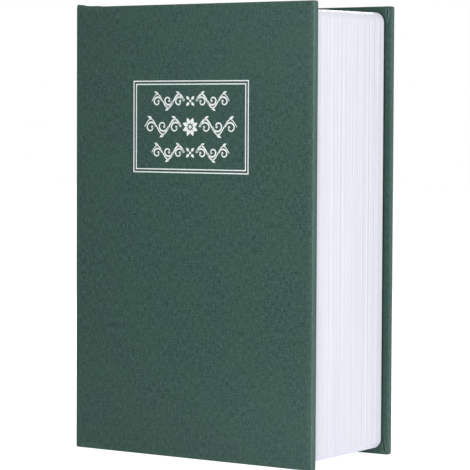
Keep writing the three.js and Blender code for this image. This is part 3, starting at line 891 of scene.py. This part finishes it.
def soften(made, crease):
    """Shades the faces smooth, apart from edges that turn by more than the crease in degrees."""
    made.data.polygons.foreach_set("use_smooth", [True] * len(made.data.polygons))
    made.data.set_sharp_from_angle(angle=math.radians(crease))


def sleeve(name, rings, material, crease):
    """A closed sleeve through rings of points, the last joined to the first."""
    points, faces = [point for ring_points in rings for point in ring_points], []
    count = len(rings[0])
    for row in range(len(rings)):
        shift = count if row < len(rings) - 1 else -row * count
        for column in range(count):
            a, b = row * count + column, row * count + (column + 1) % count
            faces.append((a, a + shift, b + shift, b))
    made = mesh_object(name, points, faces, [material])
    soften(made, crease)
    return made


def page_profile():
    """(inset, y) down the block's side: bundles of pages, each a little in or out, with grooves."""
    draw = random.Random(page_seed)
    y = block_low.y + block_edge + page_margin
    end = block_high.y - foot_height - block_back_edge - page_margin
    rows = []
    while y < end - page_bundle[1]:
        width = draw.uniform(*page_bundle)
        inset = draw.uniform(0, page_step)
        rows += [
            (inset + page_groove * draw.uniform(groove_least, 1), y),
            (inset, y + groove_width / 2),
            (inset, y + width - groove_width / 2),
        ]
        y += width
    return rows


def edge_arc(y, radius, direction):
    """(inset, y) of the rounded front or back edge, from its face to its side."""
    arc = []
    for i in range(arc_steps + 1):
        angle = math.pi / 2 * i / arc_steps
        arc.append((radius * (1 - math.sin(angle)), y + direction * radius * (1 - math.cos(angle))))
    return arc


def page_block():
    rows = [
        (block_rim, block_low.y + rim_thickness),
        (block_rim, block_low.y + rim_bevel),
        (block_rim - rim_bevel, block_low.y),
        *edge_arc(block_low.y, block_edge, 1),
        *page_profile(),
        *reversed(edge_arc(block_high.y - foot_height, block_back_edge, -1)),
        (foot_inset, block_high.y - foot_height),
        (foot_inset, block_high.y),
        (block_wall, block_high.y),
        (block_wall, block_low.y + rim_thickness),
    ]
    rings = []
    for inset, y in rows:
        on_side = inset < page_step + page_groove + side_slack and block_low.y + block_edge < y
        rings.append(block_ring(inset, y, inset * (1 - calm_corner) if on_side else 0))
    return sleeve("moulded_page_block", rings, moulded_abs(), block_crease)


block = page_block()
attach(block, "case")
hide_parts("page_block")

# The shadow line: a dark bead ringed round the block's stepped foot on the back cover's cloth, a painted
# shade that stands for the shadow in the gap under the block's edge. Only a thin dark line of it shows.
shadow_bead_inset = 0.2
shadow_bead_depth = 1.1
shadow_bead_height = 0.85
shadow_bead_bite = 0.3
shadow_bead_round = 0.25
shadow_bead_crease = 50
shadow_bead_lump = 2.5


def foot_shadow_fill():
    made, tree, shader = new_material("painted_foot_shadow")
    place = add(tree, "TexCoord").outputs["Object"]
    lumps = add(tree, "TexNoise", {"Vector": place, "Scale": 1 / (shadow_bead_lump * MM), "Detail": 3})
    # Painted shade: near-black, so that the bead reads as the shadow in the gap under the block's edge.
    colour = mottled(tree, lumps.outputs["Fac"], 0.35, 0.65, "#131a19", "#232d2b")
    coat(tree, shader, colour, (lumps.outputs["Fac"], 0.6, 0.2))
    shader.inputs["Roughness"].default_value = 0.55
    shader.inputs["IOR"].default_value = 1.48
    return made


def foot_shadow_bead():
    top, foot = block_high.y - shadow_bead_height, block_high.y + shadow_bead_bite
    rows = [
        (shadow_bead_inset + shadow_bead_round, top), (shadow_bead_inset, top + shadow_bead_round), (shadow_bead_inset, foot),
        (shadow_bead_inset + shadow_bead_depth, foot), (shadow_bead_inset + shadow_bead_depth, top),
    ]
    rings = [block_ring(inset, y, 0) for inset, y in rows]
    return sleeve("block_foot_shadow_bead", rings, foot_shadow_fill(), shadow_bead_crease)


foot_shadow_piece = foot_shadow_bead()
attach(foot_shadow_piece, "case")

# The steel box and its lid: 1 mm sheet steel, folded, welded at the corners and powder coated black.
# The coat softens every fold and has a fine orange-peel texture that catches the light in specks.
coat_peel = 0.7
coat_cloud = 22


def powder_coat():
    made, tree, shader = new_material("black_powder_coat")
    place = add(tree, "TexCoord").outputs["Object"]
    peel = add(
        tree, "TexNoise",
        {"Vector": place, "Scale": 1 / (coat_peel * MM), "Detail": 2, "Roughness": 0.5},
    )
    cloud = add(tree, "TexNoise", {"Vector": place, "Scale": 1 / (coat_cloud * MM), "Detail": 3})
    colour = mottled(tree, cloud.outputs["Fac"], 0.35, 0.65, "#232527", "#303335")
    rough = add(tree, "MapRange", {0: peel.outputs["Fac"], 1: 0.3, 2: 0.7, 3: 0.42, 4: 0.58})
    coat(tree, shader, colour, (peel.outputs["Fac"], 0.5, 0.06))
    tree.links.new(rough.outputs[0], shader.inputs["Roughness"])
    shader.inputs["IOR"].default_value = 1.5
    return made


dress(["safe_box", "safe_lid"], powder_coat(), edge=0.4, steps=3)

# The hinge, the strike and the lock's hardware: mild steel, stamped or turned and bright zinc plated.
# The plate is a cool grey with a soft shine, slightly clouded, and the rolled sheet's grain shows in it.
plate_grain = (0.25, 0.25, 9)
plate_cloud = 5


def zinc_plate():
    made, tree, shader = new_material("bright_zinc_plate")
    place = add(tree, "TexCoord").outputs["Object"]
    scales = [1 / (length * MM) for length in plate_grain]
    stretched = add(tree, "VectorMath", {0: place, 1: scales}, operation="MULTIPLY")
    grain = add(tree, "TexNoise", {"Vector": stretched.outputs[0], "Scale": 1, "Detail": 2})
    cloud = add(
        tree, "TexNoise",
        {"Vector": place, "Scale": 1 / (plate_cloud * MM), "Detail": 4, "Roughness": 0.6},
    )
    colour = mottled(tree, cloud.outputs["Fac"], 0.35, 0.65, "#a9adb1", "#c3c7ca")
    rough = add(tree, "MapRange", {0: grain.outputs["Fac"], 1: 0.3, 2: 0.7, 3: 0.28, 4: 0.45})
    coat(tree, shader, colour, (grain.outputs["Fac"], 0.15, 0.02))
    tree.links.new(rough.outputs[0], shader.inputs["Roughness"])
    shader.inputs["Metallic"].default_value = 1
    return made


zinc = zinc_plate()
springs = [f"lock_spring_{i}" for i in range(1, 5)]
stamped = ["box_hinge_leaf", "lid_hinge_leaf", "strike_bracket", "lock_washer", "lock_nut", "lock_cam"]
dress(stamped, zinc, edge=0.18)
dress(["hinge_pin", "cam_screw", *springs], zinc, edge=0.04)

# The hinge's rivets: solid steel, zinc plated, with a domed head outside and a tail set by a press,
# which leaves a flat button with a soft edge and a dimple in the middle.
rivet_head = (2.3, 0.9)
rivet_dome = 0.75
rivet_shank = 1.2
rivet_button = ((1.8, 0.7), (1.8, 0.35), (1.62, 0.13), (1.2, 0), (0.7, 0.02), (0.45, 0.15))
rivet_crease = 38
rivet_sides = 32
dome_steps = 8


def set_rivet(name, axis, body):
    """The rivet of a CAD node, with its head at the low end of the axis, 0 for X and 1 for Y. The
    head is (radius, height), and the button's points are (radius, distance from the tail's end)."""
    low, high = (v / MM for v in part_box(name))
    centre = (low + high) / 2
    end = high[axis] - low[axis]
    ball = (rivet_head[0] ** 2 + rivet_dome ** 2) / (2 * rivet_dome)
    radii = [rivet_head[0] * i / dome_steps for i in range(1, dome_steps + 1)]
    profile = [(r, ball - math.sqrt(ball ** 2 - r ** 2)) for r in radii]
    profile += [rivet_head, (rivet_shank, rivet_head[1]), (rivet_shank, end - rivet_button[0][1])]
    profile += [(radius, end - below) for radius, below in rivet_button]
    points = []
    for radius, along in profile:
        for side in range(rivet_sides):
            angle = 2 * math.pi * side / rivet_sides
            point = Vector((centre.x, centre.y, centre.z + radius * math.sin(angle)))
            point[axis] = low[axis] + along
            point[1 - axis] += radius * math.cos(angle)
            points.append(point)
    faces = [tuple(range(rivet_sides)), tuple(len(points) - 1 - side for side in range(rivet_sides))]
    for row in range(len(profile) - 1):
        for side in range(rivet_sides):
            a, b = row * rivet_sides + side, row * rivet_sides + (side + 1) % rivet_sides
            faces.append((a, a + rivet_sides, b + rivet_sides, b))
    made = mesh_object(f"domed_{name}", points, faces, [zinc])
    mend_mesh(made)
    soften(made, rivet_crease)
    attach(made, body)
    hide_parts(name)


for i in (1, 2, 3):
    set_rivet(f"box_hinge_rivet_{i}", axis=0, body="case")
    set_rivet(f"lid_hinge_rivet_{i}", axis=1, body="lid")

# The lock: a die-cast case and plug in polished chrome, with four stamped brass wafers in the plug.
# The chrome mirrors the room and is slightly hazed in places; the brass is warmer and duller.
chrome_haze = 3
brass_haze = 1.2


def polished_chrome():
    made, tree, shader = new_material("polished_chrome_plate")
    place = add(tree, "TexCoord").outputs["Object"]
    haze = add(tree, "TexNoise", {"Vector": place, "Scale": 1 / (chrome_haze * MM), "Detail": 4})
    coat(tree, shader, mottled(tree, haze.outputs["Fac"], 0.35, 0.65, "#cdd0d3", "#dfe1e3"))
    rough = add(tree, "MapRange", {0: haze.outputs["Fac"], 1: 0.3, 2: 0.7, 3: 0.08, 4: 0.2})
    tree.links.new(rough.outputs[0], shader.inputs["Roughness"])
    shader.inputs["Metallic"].default_value = 1
    return made


def stamped_brass():
    made, tree, shader = new_material("stamped_brass")
    place = add(tree, "TexCoord").outputs["Object"]
    haze = add(tree, "TexNoise", {"Vector": place, "Scale": 1 / (brass_haze * MM), "Detail": 3})
    coat(tree, shader, mottled(tree, haze.outputs["Fac"], 0.35, 0.65, "#a3813f", "#c09b55"))
    shader.inputs["Roughness"].default_value = 0.35
    shader.inputs["Metallic"].default_value = 1
    return made


dress(["lock_housing", "lock_plug"], polished_chrome(), edge=0.2, steps=3)
dress([f"lock_wafer_{i}" for i in range(1, 5)], stamped_brass(), edge=0.05)
